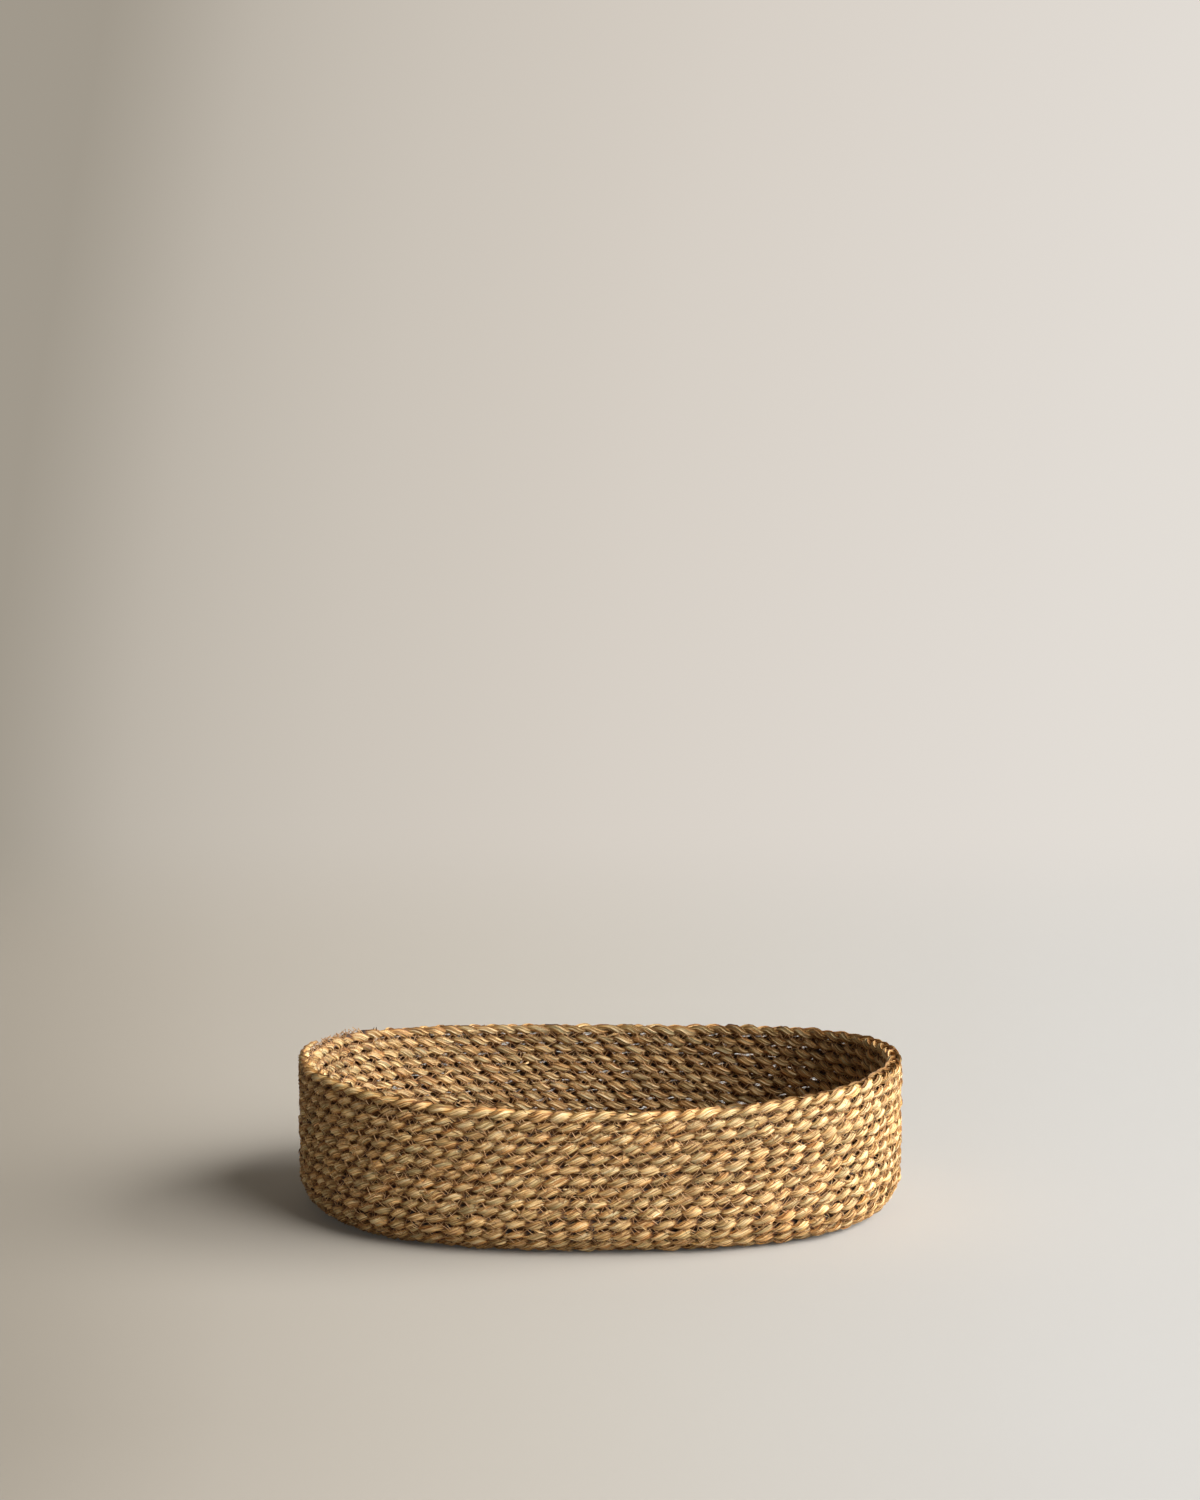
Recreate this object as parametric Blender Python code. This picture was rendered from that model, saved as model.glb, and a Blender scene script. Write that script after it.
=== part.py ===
"""Oval basket, coiled and sewn from one flat three-strand seagrass plait.

The coil starts as a straight run in the middle of the base.  The plait stands on edge there, so its
width is the thickness of the base, and each course lies round the one before it.  At the heel the
plait turns over, course by course, until it lies flat in the wall with its width as the wall's
thickness.  Every course is an open length: it stays level, climbs to the next course round the left
end, and meets that course end to end at the back left.  The rim course thins to a tail there.

Metres, +Z up, +X along the basket, origin on the floor under its middle.
"""
import math

import bpy
from mathutils import Vector

# Overall sizes
BASKET_LENGTH = 0.450
BASKET_WIDTH = 0.310
# At the middle of a long side: the rim stands END_RISE higher at the two ends.
BASKET_HEIGHT = 0.104
END_RISE = 0.0115
HEEL_RADIUS = 0.028

# The plait and how it is laid
PLAIT_WIDTH = 0.011
PLAIT_THICKNESS = 0.0072
COURSE_GAP = 0.0004
JOINT_GAP = 0.0003
CLIMB_LENGTH = 0.160

# Shares, angles and counts of the form
SIDE_BOW_SHARE = 0.25
EDGE_FLAT_SHARE = 0.5
TAIL_END_SHARE = 0.3
CLIMB_ANGLE_LIMIT = math.radians(180)
SEAM_ANGLE = math.radians(145)
POINTS_PER_TURN = 36
POINT_ANGLE = 2 * math.pi / POINTS_PER_TURN
END_POINTS_SHARE = 0.15

# What follows from them, along the path that the plait's middle takes from the spine to the rim
HALF_LENGTH = BASKET_LENGTH / 2
HALF_WIDTH = BASKET_WIDTH / 2
SPINE_HALF_LENGTH = HALF_LENGTH - HALF_WIDTH
HEEL_START = HALF_WIDTH - HEEL_RADIUS
HEEL_PATH_RADIUS = HEEL_RADIUS - PLAIT_WIDTH / 2
HEEL_END = HEEL_START + HEEL_PATH_RADIUS * math.pi / 2
RIM_EDGE = HEEL_END + BASKET_HEIGHT - HEEL_RADIUS
COURSE_COUNT = round(RIM_EDGE / (PLAIT_THICKNESS + COURSE_GAP) + 0.5)
COURSE_PITCH = RIM_EDGE / (COURSE_COUNT - 0.5)
RIM_LEVEL = COURSE_COUNT - 1

SEAGRASS = {
    "base": ("seagrass base", (0.40, 0.27, 0.12, 1.0)),
    "heel": ("seagrass heel", (0.46, 0.31, 0.14, 1.0)),
    "wall": ("seagrass wall", (0.50, 0.34, 0.16, 1.0)),
    "rim": ("seagrass rim", (0.56, 0.40, 0.20, 1.0)),
}
SEAGRASS_ROUGHNESS = 0.75


def clear_scene():
    for item in list(bpy.data.objects):
        bpy.data.objects.remove(item, do_unlink=True)


def new_collection(name):
    collection = bpy.data.collections.new(name)
    bpy.context.scene.collection.children.link(collection)
    return collection


def plant_material(name, colour):
    material = bpy.data.materials.new(name)
    material.use_nodes = True
    shader = material.node_tree.nodes["Principled BSDF"]
    shader.inputs["Base Color"].default_value = colour
    shader.inputs["Roughness"].default_value = SEAGRASS_ROUGHNESS
    shader.inputs["Metallic"].default_value = 0.0
    material.diffuse_color = colour
    return material


def smooth_step(share):
    share = min(max(share, 0.0), 1.0)
    return share * share * (3 - 2 * share)


def outer_face(path):
    """Reach from the spine and height of the basket's outer face, and how far the plait has turned over."""
    if path < HEEL_START:
        return max(path, 0.0), 0.0, 0.0
    if path < HEEL_END:
        turned_over = (path - HEEL_START) / HEEL_PATH_RADIUS
        reach = HEEL_START + HEEL_RADIUS * math.sin(turned_over)
        return reach, HEEL_RADIUS * (1 - math.cos(turned_over)), turned_over
    return HALF_WIDTH, HEEL_RADIUS + path - HEEL_END, math.pi / 2


def outward(angle):
    return Vector((math.cos(angle), math.sin(angle), 0.0))


def oval_point(reach, angle):
    """Where the oval of this half width faces outward at this angle.

    Each oval keeps one distance from the straight spine.  The wider it is, the more its long sides
    bow out from the straight.
    """
    bow = SIDE_BOW_SHARE * reach / HALF_WIDTH
    rounded = math.hypot(math.cos(angle), bow)
    stretch = SPINE_HALF_LENGTH / (math.hypot(1, bow) - bow)
    slope = -math.cos(angle) * math.sin(angle) / rounded
    along = outward(angle + math.pi / 2)
    return outward(angle) * (reach + stretch * (rounded - bow)) + along * (stretch * slope)


def plait_centre(level, angle, size_share=1.0):
    """The middle of the plait, with its outer edge on the basket's outer face."""
    reach, height, turned_over = outer_face(level * COURSE_PITCH)
    half_plait = PLAIT_WIDTH / 2 * size_share
    centre = oval_point(reach - half_plait * math.sin(turned_over), angle)
    height += half_plait * math.cos(turned_over)
    wall_share = max(height - PLAIT_WIDTH / 2, 0.0) / (BASKET_HEIGHT - PLAIT_WIDTH / 2)
    centre.z = height + END_RISE * wall_share * (centre.x / HALF_LENGTH) ** 2
    return centre


def climbed_share(level, turned):
    """How far a course has climbed to the next level, after this part of its turn."""
    end_radius = max(outer_face(level * COURSE_PITCH)[0], COURSE_PITCH)
    climb_angle = min(CLIMB_LENGTH / end_radius, CLIMB_ANGLE_LIMIT)
    return smooth_step(1 - (2 * math.pi - turned) / climb_angle)


def level_after(level, turned):
    return level + climbed_share(level, turned)


def oval_angle(turned):
    """The oval's outward angle after this part of a turn, with the points drawn towards its ends."""
    even_angle = SEAM_ANGLE - turned
    return even_angle + END_POINTS_SHARE * math.sin(2 * even_angle)


def course_point(level, turned):
    return plait_centre(level_after(level, turned), oval_angle(turned))


def fit_share(level, turned):
    """The plait's size between the courses below and above, as a share of its full size."""
    here = course_point(level, turned)
    travel = course_point(level, turned + POINT_ANGLE) - course_point(level, turned - POINT_ANGLE)
    rooms = []
    for neighbour in (level - 1, level + 1):
        apart = course_point(neighbour, turned) - here
        rooms.append((apart - apart.project(travel)).length)
    return min(rooms) / COURSE_PITCH


def plait_place(level, step):
    """Centre, size share and turning over of the plait at one step of its turn."""
    laps, point = divmod(step, POINTS_PER_TURN)
    level += laps
    turned = POINT_ANGLE * (point + 0.5)
    size_share = fit_share(level, turned)
    here = level_after(level, turned)
    if level == RIM_LEVEL:
        climbed = climbed_share(RIM_LEVEL - 1, turned)
        size_share *= 1 - climbed
        here = RIM_LEVEL + climbed / 2
    centre = plait_centre(here, oval_angle(turned), size_share)
    return centre, size_share, outer_face(here * COURSE_PITCH)[2]


def cut_back(place, neighbour):
    """The cut end of a course, half way to the neighbouring point less half the joint's gap."""
    centre, size_share, turned_over = place
    reach = neighbour[0] - centre
    keep = (reach.length - JOINT_GAP) / 2 / reach.length
    return (centre + reach * keep, size_share + (neighbour[1] - size_share) * keep,
            turned_over + (neighbour[2] - turned_over) * keep)


def course_places(level):
    """The places of one whole course, from its start at the seam to its end there."""
    places = [plait_place(level, step) for step in range(POINTS_PER_TURN)]
    start = cut_back(places[0], plait_place(level, -1))
    if level == RIM_LEVEL:
        return [start] + [place for place in places if place[1] > TAIL_END_SHARE]
    return [start] + places + [cut_back(places[-1], plait_place(level, POINTS_PER_TURN))]


def centre_places():
    """The straight run along the spine that the first turn is folded round."""
    height = PLAIT_WIDTH / 2
    ends = (SPINE_HALF_LENGTH, -SPINE_HALF_LENGTH)
    return [(Vector((x, 0.0, height)), 1.0, 0.0) for x in ends]


def plait_section(collection):
    """The plait cut across: flat on its two edges, and ridged where it meets its neighbours."""
    half_thickness = (COURSE_PITCH - COURSE_GAP) / 2
    half_flat = half_thickness * EDGE_FLAT_SHARE
    half_plait = PLAIT_WIDTH / 2
    corners = [(half_thickness, 0.0), (half_flat, -half_plait), (-half_flat, -half_plait),
               (-half_thickness, 0.0), (-half_flat, half_plait), (half_flat, half_plait)]
    curve = bpy.data.curves.new("plait_section", "CURVE")
    curve.dimensions = "2D"
    spline = curve.splines.new("POLY")
    spline.points.add(len(corners) - 1)
    for point, (across, up) in zip(spline.points, corners):
        point.co = (across, up, 0.0, 1.0)
    spline.use_cyclic_u = True
    section = bpy.data.objects.new("plait_section", curve)
    section.hide_render = True
    section.display_type = "WIRE"
    collection.objects.link(section)
    return section


def lay_plait(name, places, section, material, collection):
    """One length of plait along its places, as a curve with the plait's section and filled ends."""
    curve = bpy.data.curves.new(name, "CURVE")
    curve.dimensions = "3D"
    curve.twist_mode = "Z_UP"
    curve.bevel_mode = "OBJECT"
    curve.bevel_object = section
    curve.use_fill_caps = True
    spline = curve.splines.new("POLY")
    spline.points.add(len(places) - 1)
    for point, (centre, size_share, turned_over) in zip(spline.points, places):
        point.co = (*centre, 1.0)
        point.radius = size_share
        point.tilt = turned_over
    curve.materials.append(material)
    course = bpy.data.objects.new(name, curve)
    collection.objects.link(course)
    return course


def course_zone(level):
    if level == RIM_LEVEL:
        return "rim"
    path = level * COURSE_PITCH
    if path < HEEL_START:
        return "base"
    return "heel" if path < HEEL_END else "wall"


def build_basket():
    clear_scene()
    basket = new_collection("oval_seagrass_basket")
    guides = new_collection("guides")
    materials = {zone: plant_material(*look) for zone, look in SEAGRASS.items()}
    section = plait_section(guides)
    lay_plait("base_centre_run", centre_places(), section, materials["base"], basket)
    laid = dict.fromkeys(materials, 0)
    for level in range(1, COURSE_COUNT):
        zone = course_zone(level)
        laid[zone] += 1
        name = "rim_course" if zone == "rim" else f"{zone}_course_{laid[zone]:02d}"
        lay_plait(name, course_places(level), section, materials[zone], basket)


build_basket()
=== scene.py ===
"""Oval seagrass basket: the braid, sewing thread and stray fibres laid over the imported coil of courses."""
import math
from collections import namedtuple

import bmesh
import bpy
import numpy as np
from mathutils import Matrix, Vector, noise
from mathutils.bvhtree import BVHTree


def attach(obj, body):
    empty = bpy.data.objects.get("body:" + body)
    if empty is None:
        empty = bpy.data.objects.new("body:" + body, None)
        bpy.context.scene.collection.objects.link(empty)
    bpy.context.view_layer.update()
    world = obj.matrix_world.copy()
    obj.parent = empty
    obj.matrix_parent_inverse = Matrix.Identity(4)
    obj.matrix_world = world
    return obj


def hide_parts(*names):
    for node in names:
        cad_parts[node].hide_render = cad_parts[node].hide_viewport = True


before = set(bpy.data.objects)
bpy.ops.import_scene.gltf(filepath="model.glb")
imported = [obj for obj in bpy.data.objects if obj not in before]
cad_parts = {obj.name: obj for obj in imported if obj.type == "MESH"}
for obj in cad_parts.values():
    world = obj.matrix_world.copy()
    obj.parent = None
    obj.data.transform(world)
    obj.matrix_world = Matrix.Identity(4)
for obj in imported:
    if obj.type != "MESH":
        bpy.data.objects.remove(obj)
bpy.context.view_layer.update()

MM = 0.001

# The basket and its coil, as the CAD model has them
BASKET_LENGTH = 450 * MM
BASKET_WIDTH = 310 * MM
BASKET_HEIGHT = 104 * MM
END_RISE = 11.5 * MM
HEEL_RADIUS = 28 * MM
PLAIT_WIDTH = 11 * MM
COURSE_COUNT = 32
CLIMB_LENGTH = 160 * MM
SIDE_BOW_SHARE = 0.25
TAIL_END_SHARE = 0.3
CLIMB_ANGLE_LIMIT = math.radians(180)
SEAM_ANGLE = math.radians(145)
END_POINTS_SHARE = 0.15
HALF_LENGTH = BASKET_LENGTH / 2
HALF_WIDTH = BASKET_WIDTH / 2
SPINE_HALF_LENGTH = HALF_LENGTH - HALF_WIDTH
HEEL_START = HALF_WIDTH - HEEL_RADIUS
HEEL_PATH_RADIUS = HEEL_RADIUS - PLAIT_WIDTH / 2
HEEL_END = HEEL_START + HEEL_PATH_RADIUS * math.pi / 2
RIM_EDGE = HEEL_END + BASKET_HEIGHT - HEEL_RADIUS
COURSE_PITCH = RIM_EDGE / (COURSE_COUNT - 0.5)
RIM_LEVEL = COURSE_COUNT - 1

# The braid: three strands, each a bundle of flat leaves, thinner where it dives under the next
STRAND_COUNT = 3
STRAND_WIDTH = 6.5 * MM
STRAND_THICKNESS = 3.4 * MM
STRAND_FLATNESS = 0.9
BRAID_REACH = 3.8 * MM
BRAID_LIFT = 1.35 * MM
STRAND_TURN = math.radians(52)
BULGES_PER_WALL_TURN = 82.5
STRAND_STEP = 2.7 * MM
LEAVES_ROUND_A_STRAND = 7
LEAF_RIDGE_SHARE = 0.22
HIDDEN_FULLNESS = 0.6
MIDDLE_SWELL = 0.65
MIDDLE_SWELL_POWER = 8
CENTRE_RUN_SIZE = 0.95
FLOOR_ROOM = 0.9 * MM

# The strands are slacker in the back wall: each start is where that fades in, over the width after it
BACK_SLACK = 0.14
BACK_START = (50 * MM, 60 * MM)
BACK_FOOT = (10 * MM, 20 * MM)

# Unevenness of the braiding hand: how much, and how far apart its turns lie along the plait
SLOW_PACE_DRIFT = (0.2, 160 * MM)
PACE_DRIFT = (0.3, 24 * MM)
REACH_DRIFT = (0.5 * MM, 15 * MM)
LIFT_DRIFT = (0.65 * MM, 13 * MM)
FULLNESS_DRIFT = (0.26, 14 * MM)
ROLL_DRIFT = (0.3, 12 * MM)
DRIFT_TURNS = 8192

# Unevenness of the sewn basket: how much, the size of its swells, and where it fades in above the floor
SWAY = 1.1 * MM
SWAY_SIZE = 55 * MM
SWAY_FOOT = (6 * MM, 25 * MM)

# The sewing: a zigzag of thin thread over every joint between courses
THREAD_DIAMETER = 0.5 * MM
THREAD_SPREAD = (0.8, 1.1)
THREAD_LIFT = 0.35 * THREAD_DIAMETER
THREAD_FLOOR_ROOM = 0.6 * THREAD_DIAMETER
STITCH_LEG = 4.7 * MM
LEG_SPREAD = (0.9, 1.35)
CORNER_DRIFT = 0.45
STITCH_RISE = 3.5 * MM
RISE_SPREAD = (0.35, 1.25)
POINTS_A_LEG = 3
THREADS_A_JOINT = 2

# Leaf pressed into the joints, darkened by painted shade,
# with pinholes for light in the upper courses at the back
JOINT_LEAF_SECTION = (4.0 * MM, 2.0 * MM)
# How hidden the joint leaves count, which darkens them with painted shade
JOINT_LEAF_SHADE_CREST = 0.2
JOINT_TAIL_SHARE = 0.4
PINHOLE_COURSES = 12
PINHOLE_START = 50 * MM
PINHOLE_SPACING = (8 * MM, 20 * MM)
PINHOLE_LENGTH = 10 * MM
PINHOLE_LEAF_SIZE = 0.1
PINHOLE_DRAWS = 80

# Hairs and leaf ends; how far each rises off the surface, in mm, is the square of a number from its rises
HAIR_SECTION = (0.30 * MM, 0.22 * MM)
HAIRS = {"count": 5000, "lengths": (5 * MM, 17 * MM), "rises": (0.0, 1.1), "spread": 0.7, "taper": 3.0}
LEAF_END_SECTION = (1.9 * MM, 0.45 * MM)
LEAF_ENDS = {"count": 700, "lengths": (7 * MM, 15 * MM), "rises": (0.0, 1.15), "spread": 0.3, "taper": 2.0}
OUTSIDE_SHARE = 0.6
RIM_SPREAD = 0.1
ROOT_SPREAD = 0.4
LOOSE_BEND = 0.9
ROOT_DEPTH = 0.5 * MM
SURFACE_ROOM = 0.6 * MM
RISE_POWER = 1.6
LOOSE_TIP_SIZE = 0.12

# They keep off the last part of each turn, where the courses climb, and off the rim's tail
LAST_LOOSE_TURN = 6.2
LAST_LOOSE_RIM_TURN = 5.1

# Tufts at the back rim: each has its x, number of leaves, height, and crest, which sets its painted shade
RIM_TUFTS = ((-181 * MM, 3, 3.6 * MM, 0.1), (-90 * MM, 3, 3.0 * MM, 0.3))
BACK_TURNS = (0.05, 1.5)
TUFT_LEAF_SIZE = 0.9
TUFT_TIP_SIZE = 0.15
TUFT_FOOT_HEIGHT = 1.6 * MM
TUFT_BEND = 1.2 * MM

# Strands, joints and loose ends take their leaf pattern this far apart, so that no two look alike
PATTERN_STEP = 40.0
PATTERN_SPREAD = 30.0

TURN_SAMPLES = 721
SHARP_EDGE = math.radians(80)
SEED = 7

# The points that one swept strand follows; its crests are 1 outside, 0 where it is hidden, -1 inside
Run = namedtuple("Run", "points sizes tilts lengths crests")


def smooth_step(share):
    share = np.clip(share, 0.0, 1.0)
    return share * share * (3 - 2 * share)


def fade_in(places, start, width):
    """From 0 up to the start to 1 past this width after it."""
    return smooth_step((places - start) / width)


def outer_face(path):
    """Reach from the spine, height and turning over of the plait, along its path from base to rim."""
    turned_over = np.clip((path - HEEL_START) / HEEL_PATH_RADIUS, 0.0, math.pi / 2)
    reach = np.clip(path, 0.0, HEEL_START) + HEEL_RADIUS * np.sin(turned_over)
    height = HEEL_RADIUS * (1 - np.cos(turned_over)) + np.maximum(path - HEEL_END, 0.0)
    return reach, height, turned_over


def oval_point(reach, angle):
    """The point of the oval of this half width that faces this way, as x and y."""
    bow = SIDE_BOW_SHARE * reach / HALF_WIDTH
    rounded = np.hypot(np.cos(angle), bow)
    stretch = SPINE_HALF_LENGTH / (np.hypot(1, bow) - bow)
    out = reach + stretch * (rounded - bow)
    along = stretch * -np.cos(angle) * np.sin(angle) / rounded
    return (np.cos(angle) * out - np.sin(angle) * along,
            np.sin(angle) * out + np.cos(angle) * along)


def climbed_share(level, turned):
    end_radius = np.maximum(outer_face(level * COURSE_PITCH)[0], COURSE_PITCH)
    climb_angle = np.minimum(CLIMB_LENGTH / end_radius, CLIMB_ANGLE_LIMIT)
    return smooth_step(1 - (2 * math.pi - turned) / climb_angle)


def oval_angle(turned):
    even_angle = SEAM_ANGLE - turned
    return even_angle + END_POINTS_SHARE * np.sin(2 * even_angle)


def middle_at(here, turned, size=1.0):
    """Middle of the plait this far up the coil's path, its outward angle and its turning over."""
    reach, height, turned_over = outer_face(here * COURSE_PITCH)
    half_plait = PLAIT_WIDTH / 2 * size
    angle = oval_angle(turned)
    x, y = oval_point(np.maximum(reach - half_plait * np.sin(turned_over), MM / 1000), angle)
    z = height + half_plait * np.cos(turned_over)
    wall_share = np.maximum(z - PLAIT_WIDTH / 2, 0.0) / (BASKET_HEIGHT - PLAIT_WIDTH / 2)
    z = z + END_RISE * wall_share * (x / HALF_LENGTH) ** 2
    return np.stack([x, y, z], axis=-1), angle, turned_over


def plait_middle(level, turned, size=1.0):
    """The same for a course after this part of its turn, also past its two ends."""
    laps = np.floor(turned / (2 * math.pi))
    turned = turned - laps * 2 * math.pi
    return middle_at(level + laps + climbed_share(level + laps, turned), turned, size)


def unit(vectors):
    return vectors / np.linalg.norm(vectors, axis=-1, keepdims=True)


def fit_share(level, turned):
    """Room between the courses below and above, as a share of the full pitch."""
    step = math.radians(3)
    here = plait_middle(level, turned)[0]
    travel = unit(plait_middle(level, turned + step)[0] - plait_middle(level, turned - step)[0])
    rooms = []
    for neighbour in (level - 1, level + 1):
        apart = plait_middle(max(neighbour, 0), turned)[0] - here
        across = apart - travel * np.sum(apart * travel, axis=-1, keepdims=True)
        rooms.append(np.linalg.norm(across, axis=-1))
    return np.minimum(*rooms) / COURSE_PITCH


def even_turns(level, last_turn=2 * math.pi):
    """Parts of the turn that lie one strand step apart along the course, and their lengths along it."""
    turned = np.linspace(0, last_turn, TURN_SAMPLES)
    middles = plait_middle(level, turned)[0]
    lengths = np.concatenate([[0], np.cumsum(np.linalg.norm(np.diff(middles, axis=0), axis=1))])
    count = max(round(lengths[-1] / STRAND_STEP), 2)
    even = np.linspace(0, lengths[-1], count + 1)
    return np.interp(even, lengths, turned), even


def drift(lengths, unevenness, seed):
    """A smooth random drift along the coil, by this much either way, with its turns this far apart."""
    amount, spacing = unevenness
    knots = lengths / spacing
    first = np.floor(knots).astype(int)
    share = smooth_step(knots - first)
    table = np.random.default_rng(seed).uniform(-1, 1, DRIFT_TURNS)
    return amount * (table[first % DRIFT_TURNS] * (1 - share) + table[(first + 1) % DRIFT_TURNS] * share)


def settle(middles):
    """The hand-sewn basket's slight unevenness, which every course near a point shares."""
    shifts = np.array([noise.noise_vector(Vector(point) / SWAY_SIZE) for point in middles])
    shifts[:, 2] *= fade_in(middles[:, 2], *SWAY_FOOT)
    return middles + shifts * SWAY


WALL_TURN_LENGTH = even_turns(26.0)[1][-1]
BRAID_PERIOD = WALL_TURN_LENGTH / BULGES_PER_WALL_TURN * STRAND_COUNT


def course_zone(level):
    path = level * COURSE_PITCH
    if level == RIM_LEVEL:
        return "rim"
    if path < HEEL_START:
        return "base"
    return "heel" if path < HEEL_END else "wall"


def strand_section():
    """A strand cut across: a flat bundle of leaves with a shallow valley between each two."""
    curve = bpy.data.curves.new("strand_section", "CURVE")
    curve.dimensions = "2D"
    spline = curve.splines.new("POLY")
    corners = 2 * LEAVES_ROUND_A_STRAND
    spline.points.add(corners - 1)
    outline = []
    for corner in range(corners):
        angle = -2 * math.pi * corner / corners
        ridge = 1 + LEAF_RIDGE_SHARE * (1 if corner % 2 else -1)
        flattened = math.copysign(abs(math.cos(angle)) ** STRAND_FLATNESS, math.cos(angle))
        outline.append((STRAND_THICKNESS / 2 * ridge * flattened,
                        STRAND_WIDTH / 2 * ridge * math.sin(angle)))
    for point, (thick, wide) in zip(spline.points, outline):
        point.co = (thick, wide, 0.0, 1.0)
    spline.use_cyclic_u = True
    section = bpy.data.objects.new("strand_section", curve)
    bpy.context.scene.collection.objects.link(section)
    return section, np.array(outline)


def sweep(name, runs, section, outline, material):
    """Sweeps a section along runs of points, and keeps each point's place in its strand."""
    curve = bpy.data.curves.new(name, "CURVE")
    curve.dimensions = "3D"
    curve.twist_mode = "Z_UP"
    curve.bevel_mode = "OBJECT"
    curve.bevel_object = section
    for run in runs:
        spline = curve.splines.new("POLY")
        spline.points.add(len(run.points) - 1)
        spline.points.foreach_set("co", np.column_stack([run.points, np.ones(len(run.points))]).ravel())
        spline.points.foreach_set("radius", run.sizes)
        spline.points.foreach_set("tilt", run.tilts)
    guide = bpy.data.objects.new(name + "_guide", curve)
    bpy.context.scene.collection.objects.link(guide)
    bpy.context.view_layer.update()
    evaluated = guide.evaluated_get(bpy.context.evaluated_depsgraph_get())
    mesh = bpy.data.meshes.new_from_object(evaluated)
    bpy.data.objects.remove(guide, do_unlink=True)
    keep_off_floor(mesh)
    places = [np.column_stack([np.repeat(run.lengths, len(outline)), np.tile(outline, (len(run.points), 1))])
              for run in runs]
    layer = mesh.attributes.new("fibre", "FLOAT_VECTOR", "POINT")
    layer.data.foreach_set("vector", np.concatenate(places).astype(np.float32).ravel())
    crests = np.concatenate([np.repeat(run.crests, len(outline)) for run in runs])
    layer = mesh.attributes.new("crest", "FLOAT", "POINT")
    layer.data.foreach_set("value", crests.astype(np.float32))
    close_ends(mesh)
    mesh.name = name
    mesh.shade_smooth()
    mesh.set_sharp_from_angle(angle=SHARP_EDGE)
    mesh.materials.clear()
    mesh.materials.append(material)
    piece = bpy.data.objects.new(name, mesh)
    bpy.context.scene.collection.objects.link(piece)
    return piece


def keep_off_floor(mesh):
    """Presses flat what would lie below the floor."""
    corners = np.empty(3 * len(mesh.vertices), np.float32)
    mesh.vertices.foreach_get("co", corners)
    corners[2::3] = np.maximum(corners[2::3], 0.0)
    mesh.vertices.foreach_set("co", corners)


def close_ends(mesh):
    """Fills the open ends, so that every run is a closed solid."""
    body = bmesh.new()
    body.from_mesh(mesh)
    bmesh.ops.holes_fill(body, edges=[edge for edge in body.edges if edge.is_boundary])
    bmesh.ops.recalc_face_normals(body, faces=body.faces)
    body.to_mesh(mesh)
    body.free()


def sides_of_plait(angle, turned_over):
    """The directions out of the basket's wall and from this course to the next."""
    out = np.column_stack([np.cos(angle), np.sin(angle), np.zeros(len(angle))])
    up = np.array([0.0, 0.0, 1.0])
    sin_over, cos_over = np.sin(turned_over)[:, None], np.cos(turned_over)[:, None]
    return out * sin_over - up * cos_over, out * cos_over + up * sin_over


def strand_runs(level, start_length):
    """The three strands of one course."""
    turned, lengths = even_turns(float(level))
    size = fit_share(float(level), turned)
    middles, angle, turned_over = plait_middle(float(level), turned, size)
    if level == RIM_LEVEL:
        climbed = climbed_share(RIM_LEVEL - 1.0, turned)
        size = 1 - climbed
        middles, angle, turned_over = middle_at(RIM_LEVEL + climbed / 2, turned, size)
    whole_length = lengths[-1]
    keep = size > TAIL_END_SHARE
    middles, size, lengths = settle(middles)[keep], size[keep], lengths[keep]
    return braid(middles, angle[keep], turned_over[keep], size, lengths + start_length), whole_length


def braid(middles, angle, turned_over, size, lengths):
    """The three strands round the plait's middle, which cross in turn from one edge to the other."""
    wall_side, stack_side = sides_of_plait(angle, turned_over)
    back = fade_in(middles[:, 1], *BACK_START) * fade_in(middles[:, 2], *BACK_FOOT)
    phase = (2 * math.pi * lengths / BRAID_PERIOD + drift(lengths, SLOW_PACE_DRIFT, SEED)
             + drift(lengths, PACE_DRIFT, SEED + 1))
    runs = []
    for strand in range(STRAND_COUNT):
        seed = SEED + 10 * (strand + 1)
        turn = phase + 2 * math.pi * strand / STRAND_COUNT
        crest = np.sin(turn) ** 2
        core = (HIDDEN_FULLNESS + (1 - HIDDEN_FULLNESS) * crest
                + MIDDLE_SWELL * (1 - crest) ** MIDDLE_SWELL_POWER)
        reach = BRAID_REACH * np.sin(turn) + drift(lengths, REACH_DRIFT, seed) * np.sin(turn)
        lift = BRAID_LIFT * np.sin(2 * turn) + drift(lengths, LIFT_DRIFT, seed + 1)
        points = middles + wall_side * (reach * size)[:, None] + stack_side * (lift * size)[:, None]
        fullness = core * (1 + drift(lengths, FULLNESS_DRIFT, seed + 2)) * (1 - BACK_SLACK * back)
        points[:, 2] = np.maximum(points[:, 2], STRAND_THICKNESS / 2 * fullness * size + FLOOR_ROOM)
        roll = math.pi / 2 - STRAND_TURN * np.cos(turn) + drift(lengths, ROLL_DRIFT, seed + 3)
        runs.append(Run(points, fullness * size, turned_over - roll, lengths + PATTERN_STEP * strand,
                        crest * np.sign(reach)))
    return runs


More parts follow.
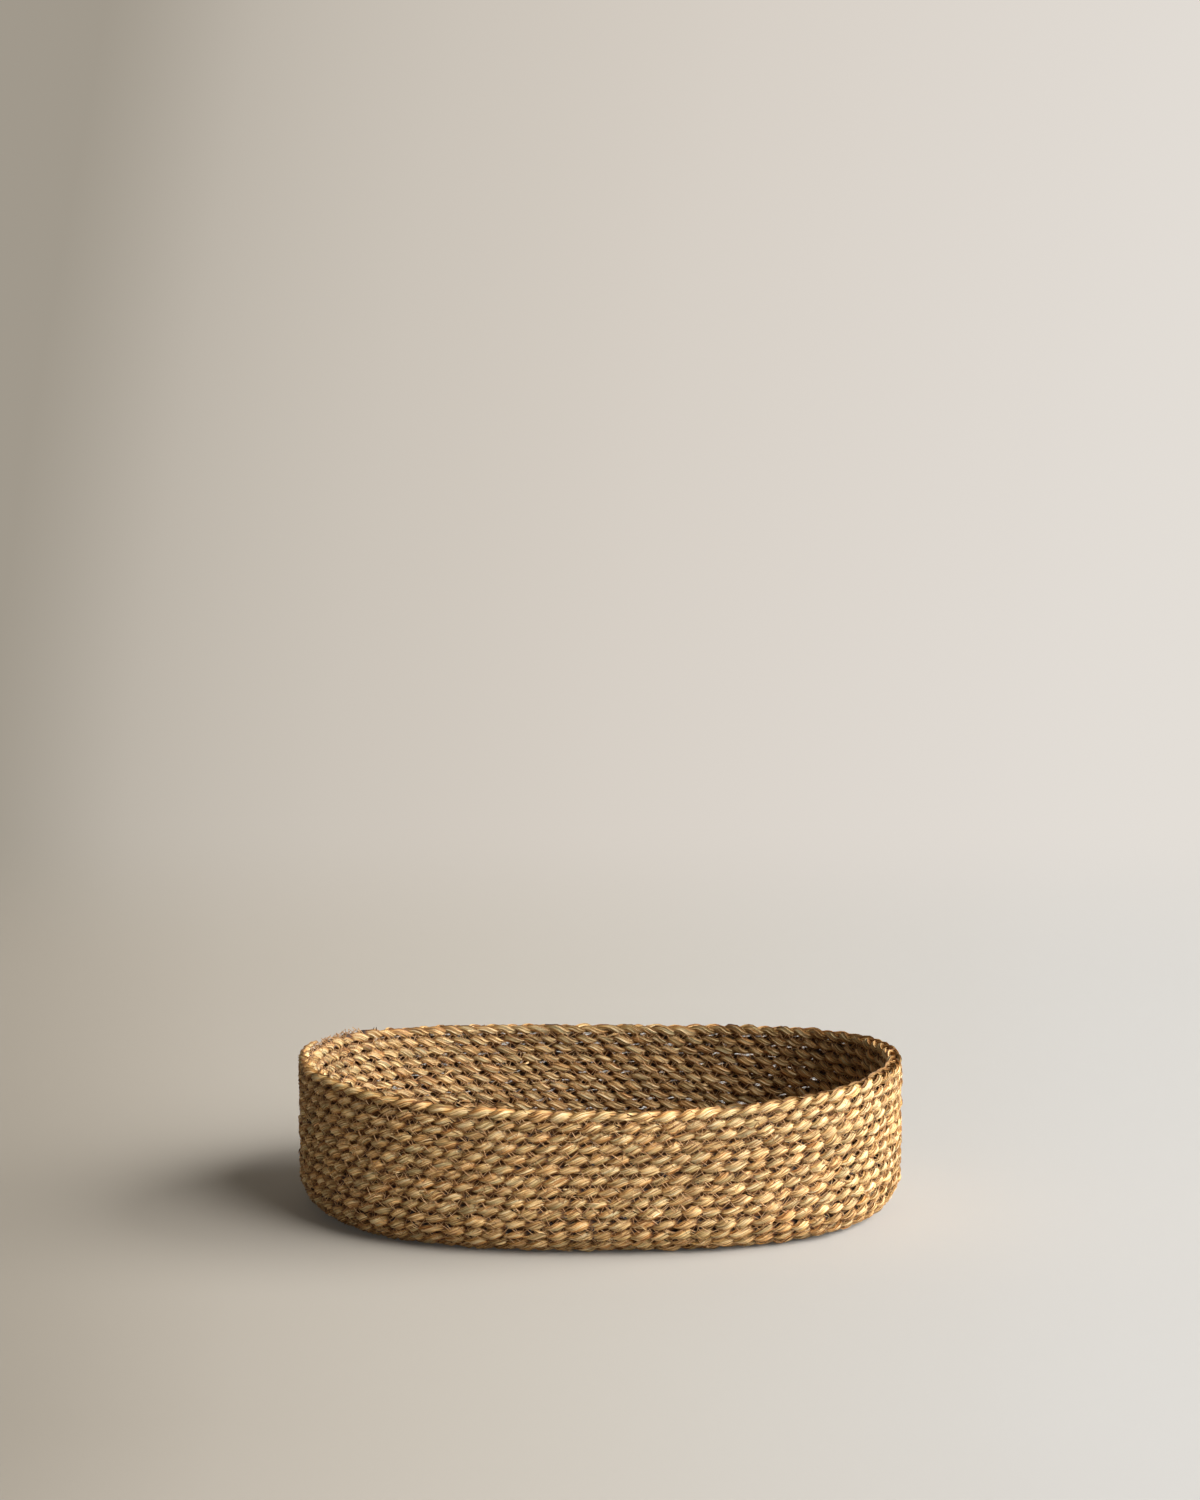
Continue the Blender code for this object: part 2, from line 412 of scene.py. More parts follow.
def start_runs():
    """The straight first run along the spine, and its fold up into the first course."""
    straight_points, fold_points, fold_pull, next_turn = 53, 9, 1.6, 0.01
    first = plait_middle(1.0, np.array([0.0, next_turn]))[0]
    heading = unit(first[1] - first[0])
    straight = np.linspace(SPINE_HALF_LENGTH, -SPINE_HALF_LENGTH, straight_points)
    run = [np.array([x, 0.0, PLAIT_WIDTH / 2]) for x in straight]
    begin, end = run[-1], first[0]
    pull = np.linalg.norm(end - begin) * fold_pull
    for share in np.linspace(0, 1, fold_points)[1:]:
        keep = 1 - share
        run.append(begin * keep ** 3 + (begin + np.array([-pull, 0, 0])) * 3 * keep ** 2 * share
                   + (end - heading * pull) * 3 * keep * share ** 2 + end * share ** 3)
    run = np.array(run)
    lengths = np.concatenate([[0], np.cumsum(np.linalg.norm(np.diff(run, axis=0), axis=1))])
    travel = unit(np.gradient(run, axis=0))
    outward_angle = np.arctan2(travel[:, 1], travel[:, 0]) + math.pi / 2
    size = np.full(len(run), CENTRE_RUN_SIZE)
    return braid(run, outward_angle, np.zeros(len(run)), size, lengths), lengths[-1]


# Colours and finishes
MULTIPLIED = {"data_type": "RGBA", "blend_type": "MULTIPLY"}


def colour(hex_code):
    """An sRGB hex colour as linear red, green, blue and alpha."""
    parts = [int(hex_code[place:place + 2], 16) / 255 for place in (1, 3, 5)]
    return [part / 12.92 if part <= 0.04045 else ((part + 0.055) / 1.055) ** 2.4 for part in parts] + [1.0]


def add_node(tree, kind, settings=None, sockets=None):
    """Adds a node, sets its properties, and links or sets its sockets."""
    node = tree.nodes.new(kind)
    for name, value in (settings or {}).items():
        setattr(node, name, value)
    for name, value in (sockets or {}).items():
        if isinstance(value, bpy.types.NodeSocket):
            tree.links.new(value, node.inputs[name])
        else:
            node.inputs[name].default_value = value
    return node


def fill_ramp(ramp, stops):
    """Puts the ramp's colours at their places."""
    elements = ramp.color_ramp.elements
    while len(elements) < len(stops):
        elements.new(0.5)
    for element, (place, hex_code) in zip(elements, stops):
        element.position = place
        element.color = colour(hex_code)


def new_material(name):
    material = bpy.data.materials.new(name)
    material.use_nodes = True
    return material, material.node_tree


def marks(length, width):
    """Pattern scales along, through and across a strand, for marks of this length and width."""
    return 1 / length, 1 / width, 1 / width


def leaf_colour(tree, place, ribs):
    """Each leaf's own tan or straw, olive or rust in long patches, streaked by ribs and worn in places."""
    hue_shift = (31.0, 17.0, 5.0)
    hue_share = 0.65
    leaf_place = add_node(tree, "ShaderNodeVectorMath", {"operation": "MULTIPLY"},
                          {0: place.outputs["Vector"], 1: marks(14 * MM, 1.1 * MM)})
    leaf = add_node(tree, "ShaderNodeTexNoise", {}, {"Vector": leaf_place.outputs["Vector"], "Scale": 1.0,
                                                     "Detail": 1.0, "Roughness": 0.5})
    hue_place = add_node(tree, "ShaderNodeVectorMath", {"operation": "MULTIPLY_ADD"},
                         {0: place.outputs["Vector"], 1: marks(55 * MM, 2.4 * MM), 2: hue_shift})
    hue = add_node(tree, "ShaderNodeTexNoise", {}, {"Vector": hue_place.outputs["Vector"], "Scale": 1.0,
                                                    "Detail": 0.0})
    tans = add_node(tree, "ShaderNodeValToRGB", {}, {"Fac": leaf.outputs["Fac"]})
    fill_ramp(tans, [(0.28, "#6A4A28"), (0.38, "#B48C58"), (0.48, "#DEBE8C"), (0.58, "#F2DAAE"),
                     (0.70, "#F8EACC")])
    greens = add_node(tree, "ShaderNodeValToRGB", {}, {"Fac": hue.outputs["Fac"]})
    fill_ramp(greens, [(0.28, "#F4D2AE"), (0.40, "#FFF9F3"), (0.54, "#FFFCF8"), (0.66, "#BCBEAE")])
    tinted = add_node(tree, "ShaderNodeMix", MULTIPLIED,
                      {"Factor": hue_share, "A": tans.outputs["Color"], "B": greens.outputs["Color"]})
    streaks = add_node(tree, "ShaderNodeMapRange", {}, {"Value": ribs.outputs["Fac"], "From Min": 0.3,
                                                        "From Max": 0.7, "To Min": 0.5, "To Max": 1.3})
    streaked = add_node(tree, "ShaderNodeMix", MULTIPLIED,
                        {"Factor": 1.0, "A": tinted.outputs["Result"], "B": streaks.outputs["Result"]})
    bundle_place = add_node(tree, "ShaderNodeVectorMath", {"operation": "MULTIPLY"},
                            {0: place.outputs["Vector"], 1: (1 / (18 * MM), 0.0, 0.0)})
    bundle = add_node(tree, "ShaderNodeTexNoise", {}, {"Vector": bundle_place.outputs["Vector"], "Scale": 1.0,
                                                       "Detail": 0.0})
    worn = add_node(tree, "ShaderNodeMapRange", {}, {"Value": bundle.outputs["Fac"], "From Min": 0.3,
                                                     "From Max": 0.7, "To Min": 0.76, "To Max": 1.2})
    return add_node(tree, "ShaderNodeMix", MULTIPLIED,
                    {"Factor": 1.0, "A": streaked.outputs["Result"], "B": worn.outputs["Result"]})


def painted_shade_tones(tree, place, crest, hollow_shade_lift):
    """Painted shade in a strand's flanks and where it dives under the next, and on its inner side."""
    depth = add_node(tree, "ShaderNodeMath", {"operation": "ABSOLUTE"}, {0: crest.outputs["Fac"]})
    axes = add_node(tree, "ShaderNodeSeparateXYZ", {}, {"Vector": place.outputs["Vector"]})
    off_middle = add_node(tree, "ShaderNodeMath", {"operation": "ABSOLUTE"}, {0: axes.outputs["Z"]})
    # Painted shade towards the edges of a strand's width
    flank_shade = add_node(tree, "ShaderNodeMapRange", {}, {"Value": off_middle.outputs[0], "From Min": 2.0 * MM,
                                                      "From Max": 3.4 * MM, "To Min": 1.0, "To Max": 0.5})
    # Painted shade where the strand dives under the next; the hollow value sets how much of it is lifted
    tucked_shade = add_node(tree, "ShaderNodeMapRange", {}, {"Value": depth.outputs[0], "From Min": 0.05,
                                                      "From Max": 0.45, "To Min": hollow_shade_lift, "To Max": 1.0})
    painted_openness = add_node(tree, "ShaderNodeMath", {"operation": "MULTIPLY"},
                        {0: flank_shade.outputs["Result"], 1: tucked_shade.outputs["Result"]})
    # Painted shade, from near black-brown where hidden to white where open
    painted_shadows = add_node(tree, "ShaderNodeValToRGB", {}, {"Fac": painted_openness.outputs[0]})
    fill_ramp(painted_shadows, [(0.0, "#2A180A"), (0.4, "#96744C"), (0.75, "#EADABC"), (1.0, "#FFFFFF")])
    # Painted shade on the inner side of the wall
    side = add_node(tree, "ShaderNodeMapRange", {}, {"Value": crest.outputs["Fac"], "From Min": -0.3,
                                                     "From Max": 0.3, "To Min": 0.78, "To Max": 1.0})
    return painted_shadows, side


def dried_seagrass(name, shade, hollow_shade_lift=0.0):
    """Dried seagrass, laid and braided by hand: flat waxy leaves with a dull gloss, finely ribbed along."""
    material, tree = new_material(name)
    shader = tree.nodes["Principled BSDF"]
    place = add_node(tree, "ShaderNodeAttribute", {"attribute_name": "fibre"})
    crest = add_node(tree, "ShaderNodeAttribute", {"attribute_name": "crest"})
    rib_place = add_node(tree, "ShaderNodeVectorMath", {"operation": "MULTIPLY"},
                         {0: place.outputs["Vector"], 1: marks(12 * MM, 0.35 * MM)})
    ribs = add_node(tree, "ShaderNodeTexNoise", {}, {"Vector": rib_place.outputs["Vector"], "Scale": 1.0,
                                                     "Detail": 2.0, "Roughness": 0.6})
    leaves = leaf_colour(tree, place, ribs)
    # Painted shade in the flanks, the hollows and on the inner side
    painted_shadows, side = painted_shade_tones(tree, place, crest, hollow_shade_lift)
    # The leaf colour darkened by painted shade on the inner side
    inner_side_shaded = add_node(tree, "ShaderNodeMix", MULTIPLIED,
                     {"Factor": 1.0, "A": leaves.outputs["Result"], "B": side.outputs["Result"]})
    # Then darkened by painted shade in the flanks and hollows
    shade_painted = add_node(tree, "ShaderNodeMix", MULTIPLIED,
                        {"Factor": 1.0, "A": inner_side_shaded.outputs["Result"], "B": painted_shadows.outputs["Color"]})
    toned = add_node(tree, "ShaderNodeMix", MULTIPLIED | {"clamp_result": True},
                     {"Factor": 1.0, "A": shade_painted.outputs["Result"], "B": colour(shade)})
    bump = add_node(tree, "ShaderNodeBump", {}, {"Height": ribs.outputs["Fac"], "Strength": 0.8,
                                                 "Distance": 0.5 * MM})
    tree.links.new(toned.outputs["Result"], shader.inputs["Base Color"])
    tree.links.new(bump.outputs["Normal"], shader.inputs["Normal"])
    shader.inputs["Roughness"].default_value = 0.6
    shader.inputs["IOR"].default_value = 1.45
    return material


def sewing_thread(name):
    """Thin two-ply thread of plant fibre, a little redder and darker than the leaves, dull and fuzzy."""
    material, tree = new_material(name)
    shader = tree.nodes["Principled BSDF"]
    place = add_node(tree, "ShaderNodeAttribute", {"attribute_name": "fibre"})
    along = add_node(tree, "ShaderNodeVectorMath", {"operation": "MULTIPLY"},
                     {0: place.outputs["Vector"], 1: marks(12 * MM, 1 * MM)})
    patch = add_node(tree, "ShaderNodeTexNoise", {}, {"Vector": along.outputs["Vector"], "Scale": 1.0,
                                                      "Detail": 1.0})
    tones = add_node(tree, "ShaderNodeValToRGB", {}, {"Fac": patch.outputs["Fac"]})
    fill_ramp(tones, [(0.3, "#8C663E"), (0.5, "#B68A5C"), (0.7, "#D6B084")])
    tree.links.new(tones.outputs["Color"], shader.inputs["Base Color"])
    shader.inputs["Roughness"].default_value = 0.8
    return material


def lay_plaits():
    """Every course of the coil, as one braided piece for each CAD course."""
    looks = {"base": dried_seagrass("dried seagrass of the base", "#E6DCCC"),
             "heel": dried_seagrass("dried seagrass of the heel", "#FAF1DE"),
             "wall": dried_seagrass("dried seagrass of the wall", "#FCF6E6"),
             # Painted light: the rim's paler tint and lighter hollow shade stand for light on its top
             "rim": dried_seagrass("dried seagrass of the rim", "#FFFAEA", 0.65)}
    section, outline = strand_section()
    runs, length = start_runs()
    laid = dict.fromkeys(looks, 0)
    plaits = [sweep("plait_base_centre_run", runs, section, outline, looks["base"])]
    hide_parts("base_centre_run")
    for level in range(1, COURSE_COUNT):
        zone = course_zone(level)
        laid[zone] += 1
        node = "rim_course" if zone == "rim" else f"{zone}_course_{laid[zone]:02d}"
        runs, course_length = strand_runs(level, length)
        length += course_length
        piece = sweep("plait_" + node, runs, section, outline, looks[zone])
        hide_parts(node)
        plaits.append(piece)
    for piece in plaits:
        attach(piece, "root")
    bpy.data.objects.remove(section, do_unlink=True)
    return plaits


def skin_of(plaits):
    """All the plaits as one searchable surface, for what lies on them."""
    points, faces, first = [], [], 0
    for piece in plaits:
        mesh = piece.data
        coords = np.empty(len(mesh.vertices) * 3)
        mesh.vertices.foreach_get("co", coords)
        points.append(coords.reshape(-1, 3))
        faces += [[corner + first for corner in face.vertices] for face in mesh.polygons]
        first += len(mesh.vertices)
    return BVHTree.FromPolygons(np.concatenate(points).tolist(), faces)


def stitch_line(skin, level, side, draws):
    """The zigzag of thread over the joint above this course, on the outside or the inside."""
    turned, lengths = even_turns(level + 0.5)
    total = lengths[-1]
    legs = int(total / (STITCH_LEG * draws.uniform(*LEG_SPREAD)))
    ends = np.arange(legs + 1)
    corners = (ends + draws.uniform(-CORNER_DRIFT, CORNER_DRIFT, legs + 1)) * total / (legs + 1)
    heights = np.where(ends % 2, 1, -1) * draws.uniform(*RISE_SPREAD, legs + 1) * STITCH_RISE
    shares = np.arange(0, legs, 1 / POINTS_A_LEG)
    along = np.interp(shares, ends, corners)
    across = np.interp(shares, ends, heights)
    middles, angle, turned_over = plait_middle(level + 0.5, np.interp(along, lengths, turned))
    wall_side, stack_side = sides_of_plait(angle, turned_over)
    wall_side = wall_side * side
    feet = settle(middles) + stack_side * across[:, None]
    found = np.array([height_over(skin, foot, way, 0.0) for foot, way in zip(feet, wall_side)])
    corner_points = np.arange(len(found)) % POINTS_A_LEG == 0
    held = np.interp(np.arange(len(found)), np.flatnonzero(corner_points), found[corner_points])
    lifted = np.maximum(found, held) + THREAD_LIFT
    lifted[corner_points] = found[corner_points] - THREAD_DIAMETER
    points = feet + wall_side * lifted[:, None]
    points[:, 2] = np.maximum(points[:, 2], THREAD_FLOOR_ROOM)
    return points, along


def height_over(skin, foot, way, otherwise):
    """How far the plaits' surface lies from this point, this way out."""
    hit = skin.ray_cast(Vector(foot + way * PLAIT_WIDTH), Vector(-way), PLAIT_WIDTH)
    return PLAIT_WIDTH - hit[3] if hit[0] is not None else otherwise


def flat_section(name, width, thickness):
    """A lens of four corners, for thread, hairs and leaf ends."""
    curve = bpy.data.curves.new(name, "CURVE")
    curve.dimensions = "2D"
    spline = curve.splines.new("POLY")
    spline.points.add(3)
    outline = [(width / 2, 0.0), (0.0, -thickness / 2), (-width / 2, 0.0), (0.0, thickness / 2)]
    for point, (x, y) in zip(spline.points, outline):
        point.co = (x, y, 0.0, 1.0)
    spline.use_cyclic_u = True
    section = bpy.data.objects.new(name, curve)
    bpy.context.scene.collection.objects.link(section)
    return section, np.array(outline)


def fill_joints(look):
    """Leaf pressed edgewise into the joints, open here and there along the back where light comes through."""
    section, outline = flat_section("joint_leaf_section", *JOINT_LEAF_SECTION)
    draws = np.random.default_rng(SEED + 50)
    runs = []
    for level in range(1, RIM_LEVEL):
        turned, lengths = even_turns(level + 0.5)
        middles, angle, turned_over = plait_middle(level + 0.5, turned)
        middles = settle(middles)
        size = np.ones(len(turned))
        if level > RIM_LEVEL - PINHOLE_COURSES:
            holes = np.cumsum(draws.uniform(*PINHOLE_SPACING, PINHOLE_DRAWS))
            holes = holes[holes < lengths[-1]]
            for hole in holes[np.interp(holes, lengths, middles[:, 1]) > PINHOLE_START]:
                size[np.abs(lengths - hole) < PINHOLE_LENGTH / 2] = PINHOLE_LEAF_SIZE
        keep = np.full(len(turned), True)
        if level == RIM_LEVEL - 1:
            keep = climbed_share(RIM_LEVEL - 1.0, turned) < JOINT_TAIL_SHARE
        # Their crest makes painted shade darken the joint leaves
        runs.append(Run(middles[keep], size[keep], turned_over[keep], lengths[keep] + PATTERN_STEP * level,
                        np.full(keep.sum(), JOINT_LEAF_SHADE_CREST)))
    piece = sweep("joint_leaves_in_painted_shade", runs, section, outline, look)
    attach(piece, "root")
    bpy.data.objects.remove(section, do_unlink=True)


def sew_courses(skin):
    """The sewing thread over every joint, outside and inside."""
    look = sewing_thread("twisted plant-fibre sewing thread")
    section, outline = flat_section("thread_section", THREAD_DIAMETER, THREAD_DIAMETER)
    draws = np.random.default_rng(SEED + 100)
    for side, side_name in ((1, "outside"), (-1, "inside")):
        for zone in ("base", "heel", "wall"):
            runs = []
            for level in range(RIM_LEVEL):
                if course_zone(level) != zone:
                    continue
                for _ in range(THREADS_A_JOINT):
                    points, along = stitch_line(skin, level, side, draws)
                    size = np.full(len(points), draws.uniform(*THREAD_SPREAD))
                    flat = np.zeros(len(points))
                    runs.append(Run(points, size, flat, along + draws.uniform(0, PATTERN_SPREAD), flat))
            piece = sweep(f"sewing_thread_{side_name}_{zone}", runs, section, outline, look)
            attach(piece, "root")
    bpy.data.objects.remove(section, do_unlink=True)


def loose_run(skin, level, turned, side, heading, length, rise, taper, draws):
    """One hair or leaf end that leaves the plait here, runs this way over the surface and lifts off it."""
    steps, next_turn = 5, 0.01
    shares = np.linspace(0, 1, steps)
    middle, angle, turned_over = plait_middle(level, np.array([turned, turned + next_turn]))
    travel = unit(middle[1] - middle[0])
    wall_side, stack_side = (way[0] for way in sides_of_plait(angle, turned_over))
    wall_side = wall_side * side
    points = [settle(middle)[0]]
    bend = draws.uniform(-LOOSE_BEND, LOOSE_BEND)
    for _ in shares[1:]:
        way = travel * math.cos(heading) + stack_side * math.sin(heading)
        points.append(points[-1] + way * length / steps)
        heading += bend / steps
    found = np.array([height_over(skin, point, wall_side, PLAIT_WIDTH / 2) for point in points])
    found[1:] = np.maximum(found[1:], (found[:-1] + found[1:]) / 2)
    found = found - ROOT_DEPTH + rise * shares ** RISE_POWER + SURFACE_ROOM * np.minimum(shares * 3, 1)
    points = np.array(points) + wall_side * found[:, None]
    points[:, 2] = np.maximum(points[:, 2], FLOOR_ROOM)
    sizes = np.maximum(1 - shares ** taper, LOOSE_TIP_SIZE)
    lengths = np.linspace(0, length, steps) + draws.uniform(0, PATTERN_SPREAD)
    return Run(points, sizes, np.full(steps, turned_over[0]), lengths, np.ones(steps))


def scatter_loose(skin, name, loose, section, outline, look, draws):
    """Loose ends strewn over the courses, more of them outside than inside."""
    places = [even_turns(float(level), LAST_LOOSE_TURN)[0][1:-1] for level in range(1, RIM_LEVEL)]
    places.append(even_turns(float(RIM_LEVEL), LAST_LOOSE_RIM_TURN)[0][1:-1])
    weights = np.array([len(turns) for turns in places])
    levels = draws.choice(np.arange(1, COURSE_COUNT), size=loose["count"], p=weights / weights.sum())
    runs = []
    for level in levels:
        turned = draws.choice(places[level - 1])
        side = 1 if draws.random() < OUTSIDE_SHARE else -1
        heading = draws.normal(0, loose["spread"] if level < RIM_LEVEL - 2 else RIM_SPREAD)
        heading += math.pi if draws.random() < 0.5 else 0
        root = level + draws.uniform(-ROOT_SPREAD, ROOT_SPREAD if level < RIM_LEVEL else 0.0)
        length = draws.uniform(*loose["lengths"])
        rise = draws.uniform(*loose["rises"]) ** 2 * MM
        runs.append(loose_run(skin, root, turned, side, heading, length, rise, loose["taper"], draws))
    piece = sweep(name, runs, section, outline, look)
    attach(piece, "root")


def strew_fibres(skin):
    """Stray fibres and the ends of spliced leaves."""
    draws = np.random.default_rng(SEED + 200)
    hair_section, hair_outline = flat_section("hair_section", *HAIR_SECTION)
    leaf_section, leaf_outline = flat_section("leaf_section", *LEAF_END_SECTION)
    look = dried_seagrass("dried seagrass fibres", "#FFF4E0")
    scatter_loose(skin, "stray_fibres", HAIRS, hair_section, hair_outline, look, draws)
    scatter_loose(skin, "spliced_leaf_ends", LEAF_ENDS, leaf_section, leaf_outline, look, draws)
    piece = sweep("rim_splice_tufts", rim_tufts(draws), leaf_section, leaf_outline, look)
    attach(piece, "root")
    for section in (hair_section, leaf_section):
        bpy.data.objects.remove(section, do_unlink=True)


def rim_tufts(draws):
    """Short leaf ends that stand up where the rim's tail ends and where a strand was spliced, at the back."""
    steps, back_points = 6, 400
    shares = np.linspace(0, 1, steps)
    middles = plait_middle(float(RIM_LEVEL), np.linspace(*BACK_TURNS, back_points))[0]
    runs = []
    for x, count, height, crest in RIM_TUFTS:
        nearest = int(np.argmin(np.abs(middles[:, 0] - x)))
        foot = settle(middles[nearest:nearest + 2])
        travel = unit(foot[1] - foot[0])
        for _ in range(count):
            lean = travel * draws.uniform(-1.3, 0.2) + np.array([0.0, draws.uniform(-0.5, 0.5), 1.0])
            reach = height * draws.uniform(0.7, 1.2)
            start = foot[0] + travel * draws.uniform(-3, 3) * MM
            start = start + np.array([0, draws.uniform(-2, 2) * MM, TUFT_FOOT_HEIGHT])
            points = (start + np.outer(shares * reach, unit(lean))
                      + np.outer(shares ** 2 * TUFT_BEND, travel))
            sizes = TUFT_LEAF_SIZE * np.maximum(1 - shares ** 2, TUFT_TIP_SIZE)
            lengths = shares * reach + draws.uniform(0, PATTERN_SPREAD)
            runs.append(Run(points, sizes, np.zeros(steps), lengths, np.full(steps, crest)))
    return runs


# The studio: a seamless pale floor, soft light from the right and a weak fill
def plain_stage():
    """The floor, swept up behind into a backdrop."""
    half_width, front, back, sweep_radius, top = 16.0, -14.0, 2.2, 1.6, 5.0
    sweep_steps = 24
    stage = bmesh.new()
    line = [(front, 0.0), (back, 0.0)]
    for step in range(1, sweep_steps + 1):
        turn = math.pi / 2 * step / sweep_steps
        line.append((back + sweep_radius * math.sin(turn), sweep_radius * (1 - math.cos(turn))))
    line.append((back + sweep_radius, top))
    points = [stage.verts.new((-half_width, y, z)) for y, z in line]
    edges = [stage.edges.new(pair) for pair in zip(points, points[1:])]
    swept = bmesh.ops.extrude_edge_only(stage, edges=edges)
    moved = [item for item in swept["geom"] if isinstance(item, bmesh.types.BMVert)]
    bmesh.ops.translate(stage, verts=moved, vec=(2 * half_width, 0, 0))
    bmesh.ops.recalc_face_normals(stage, faces=stage.faces)
    mesh = bpy.data.meshes.new("studio_floor")
    stage.to_mesh(mesh)
    stage.free()
    mesh.shade_smooth()
    mesh.materials.append(paper_with_painted_falloff("matt studio paper with painted falloff"))
    floor = bpy.data.objects.new("studio_floor", mesh)
    bpy.context.scene.collection.objects.link(floor)


def looked_at(tree):
    """1 for what the camera sees, also by way of gloss or glass, and 0 for what lights other things."""
    ray = add_node(tree, "ShaderNodeLightPath")
    mirrored = add_node(tree, "ShaderNodeMath", {"operation": "ADD"},
                        {0: ray.outputs["Is Glossy Ray"], 1: ray.outputs["Is Transmission Ray"]})
    return add_node(tree, "ShaderNodeMath", {"operation": "ADD", "use_clamp": True},
                    {0: ray.outputs["Is Camera Ray"], 1: mirrored.outputs[0]})


def paper_with_painted_falloff(name):
    """Matt warm-grey paper, painted darker on the left for light that falls off away from the lamps.

    The painted darkening widens with distance, deepens higher up the backdrop and evens out towards the
    front.
    From behind the basket on, the paper turns into its own tone, as the backdrop shows, with the same painted
    darkening.
    """
    material, tree = new_material(name)
    tree.nodes.clear()
    place = add_node(tree, "ShaderNodeTexCoord")
    axes = add_node(tree, "ShaderNodeSeparateXYZ", {}, {"Vector": place.outputs["Object"]})
    spread = add_node(tree, "ShaderNodeMath", {"operation": "MULTIPLY_ADD"},
                      {0: axes.outputs["Y"], 1: 0.46, 2: 0.92})
    wide = add_node(tree, "ShaderNodeMath", {"operation": "MAXIMUM"}, {0: spread.outputs[0], 1: 0.7})
    across = add_node(tree, "ShaderNodeMath", {"operation": "DIVIDE"},
                      {0: axes.outputs["X"], 1: wide.outputs[0]})
    evened = add_node(tree, "ShaderNodeMapRange", {"interpolation_type": "SMOOTHSTEP"},
                      {"Value": axes.outputs["Y"], "From Min": -5.0, "From Max": -0.7})
    painted_falloff_across = add_node(tree, "ShaderNodeMath", {"operation": "MULTIPLY"},
                      {0: across.outputs[0], 1: evened.outputs["Result"]})
    middle = add_node(tree, "ShaderNodeMath", {"operation": "MULTIPLY_ADD"},
                      {0: axes.outputs["Z"], 1: -0.075, 2: 0.5})
    share = add_node(tree, "ShaderNodeMath", {"operation": "ADD"},
                     {0: painted_falloff_across.outputs[0], 1: middle.outputs[0]})
    # The backdrop's tone, with painted shade darker on the left and higher up
    shown = add_node(tree, "ShaderNodeValToRGB", {}, {"Fac": share.outputs[0]})
    shown.color_ramp.interpolation = "B_SPLINE"
    fill_ramp(shown, [(0.0, "#9A9285"), (0.12, "#BFB7AB"), (0.28, "#CBC3B8"), (0.5, "#D7CFC5"),
                      (0.8, "#E1DBD4"), (1.0, "#E4DFD8")])
    # The paper's colour, with the same painted shade
    paper = add_node(tree, "ShaderNodeValToRGB", {}, {"Fac": share.outputs[0]})
    paper.color_ramp.interpolation = "B_SPLINE"
    fill_ramp(paper, [(0.0, "#908A80"), (0.2, "#A7A198"), (0.5, "#B4B0A9"), (0.8, "#BCBBB9"),
                      (1.0, "#C0C0BF")])
    floor = add_node(tree, "ShaderNodeBsdfDiffuse", {}, {"Color": paper.outputs["Color"]})
    glow_with_painted_light = add_node(tree, "ShaderNodeEmission", {}, {"Color": shown.outputs["Color"]})
    # Near the basket a twentieth of the paper the camera sees is glow: painted light lifting the cast shadow
    far = add_node(tree, "ShaderNodeMapRange", {"interpolation_type": "SMOOTHSTEP"},
                   {"Value": axes.outputs["Y"], "From Min": 0.8, "From Max": 2.2, "To Min": 0.05})
    seen = add_node(tree, "ShaderNodeMath", {"operation": "MULTIPLY"},
                    {0: far.outputs["Result"], 1: looked_at(tree).outputs[0]})
    mixed = add_node(tree, "ShaderNodeMixShader", {},
                     {0: seen.outputs[0], 1: floor.outputs[0], 2: glow_with_painted_light.outputs[0]})
    add_node(tree, "ShaderNodeOutputMaterial", {}, {"Surface": mixed.outputs[0]})
    return material


def soft_light(name, rise, turn, angle, strength, tint):
    """Even light from one side of the sky, as a large softbox far away gives it."""
    light = bpy.data.lights.new(name, "SUN")
    light.angle = math.radians(angle)
    light.energy = strength
    light.color = colour(tint)[:3]
    lamp = bpy.data.objects.new(name, light)
    lamp.rotation_euler = (0, math.radians(90 - rise), math.radians(turn))
    lamp.location = (2, -1, 2)
    bpy.context.scene.collection.objects.link(lamp)


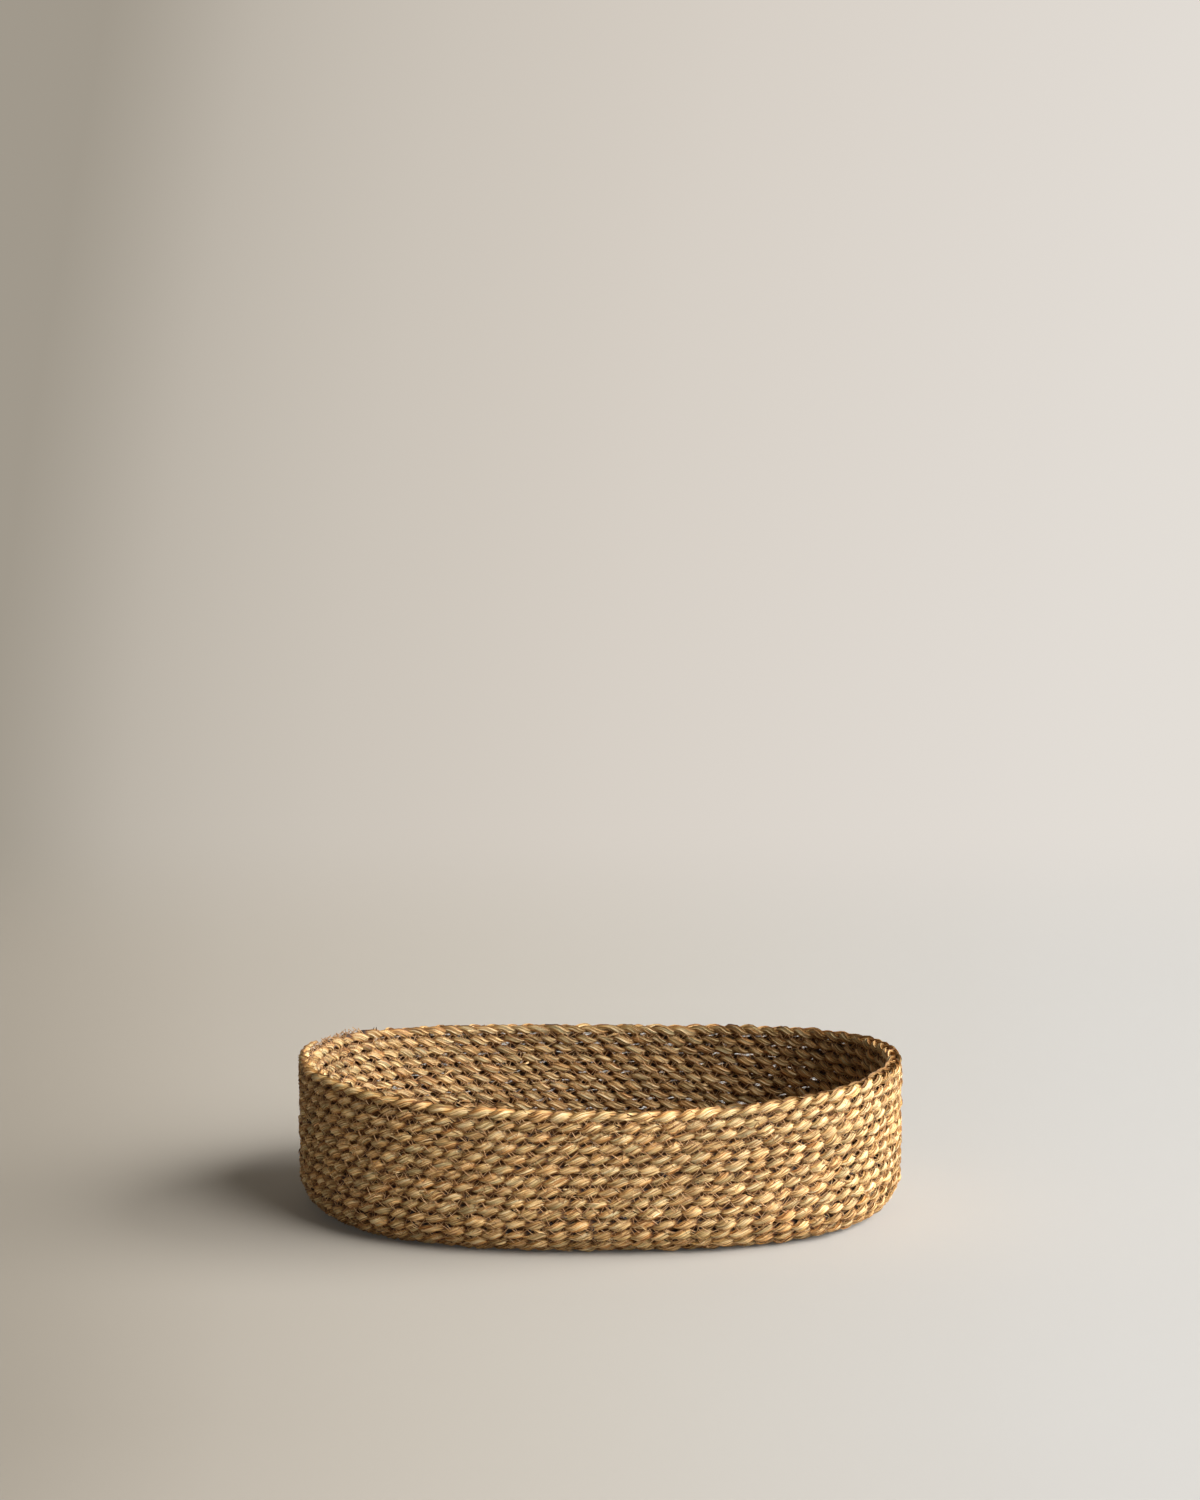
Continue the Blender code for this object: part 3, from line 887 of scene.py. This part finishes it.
def light_the_studio():
    """A softbox low on the right, a wide one in front of it and higher, and weak light from all around."""
    soft_light("key_light", rise=24, turn=6, angle=40, strength=4.1, tint="#FFFDFA")
    soft_light("wide_light", rise=33, turn=-36, angle=44, strength=4.35, tint="#FFFDFA")
    world = bpy.data.worlds.new("studio")
    bpy.context.scene.world = world
    world.use_nodes = True
    tree = world.node_tree
    tree.nodes.clear()
    way = add_node(tree, "ShaderNodeTexCoord")
    rise = add_node(tree, "ShaderNodeSeparateXYZ", {}, {"Vector": way.outputs["Generated"]})
    strength = add_node(tree, "ShaderNodeMapRange", {}, {"Value": rise.outputs["Z"], "From Min": 0.0,
                                                         "From Max": 1.0, "To Min": 0.05, "To Max": 0.165})
    fill = add_node(tree, "ShaderNodeBackground", {},
                    {"Color": colour("#F8E8D0"), "Strength": strength.outputs[0]})
    shown = add_node(tree, "ShaderNodeBackground", {}, {"Color": colour("#D4CCC1"), "Strength": 1.0})
    mixed = add_node(tree, "ShaderNodeMixShader", {},
                     {0: looked_at(tree).outputs[0], 1: fill.outputs[0], 2: shown.outputs[0]})
    add_node(tree, "ShaderNodeOutputWorld", {}, {"Surface": mixed.outputs[0]})


def place_camera():
    """The photograph's view: 2 m in front of the basket, a little above it and looking slightly down."""
    frame_height_pixels, focal_length_pixels = 1500, 2717
    eye_distance, eye_height, looking_down = 2.0, 0.5434, 0.1007
    camera = bpy.data.cameras.new("camera")
    camera.sensor_fit = "AUTO"
    camera.sensor_width = 36
    camera.lens = camera.sensor_width * focal_length_pixels / frame_height_pixels
    camera.clip_start = 50 * MM
    eye = bpy.data.objects.new("camera", camera)
    eye.location = (0.0, -eye_distance, eye_height)
    eye.rotation_euler = (math.pi / 2 - looking_down, 0, 0)
    bpy.context.scene.collection.objects.link(eye)
    bpy.context.scene.camera = eye


# Unseeded, Blender's noise vectors take their place from the clock and differ from run to run
noise.seed_set(SEED)
place_camera()
plaits = lay_plaits()
last_wall_course = plaits[-2]
fill_joints(last_wall_course.data.materials[0])
skin = skin_of(plaits)
sew_courses(skin)
strew_fibres(skin)
plain_stage()
light_the_studio()
bpy.context.scene.view_settings.view_transform = "Standard"
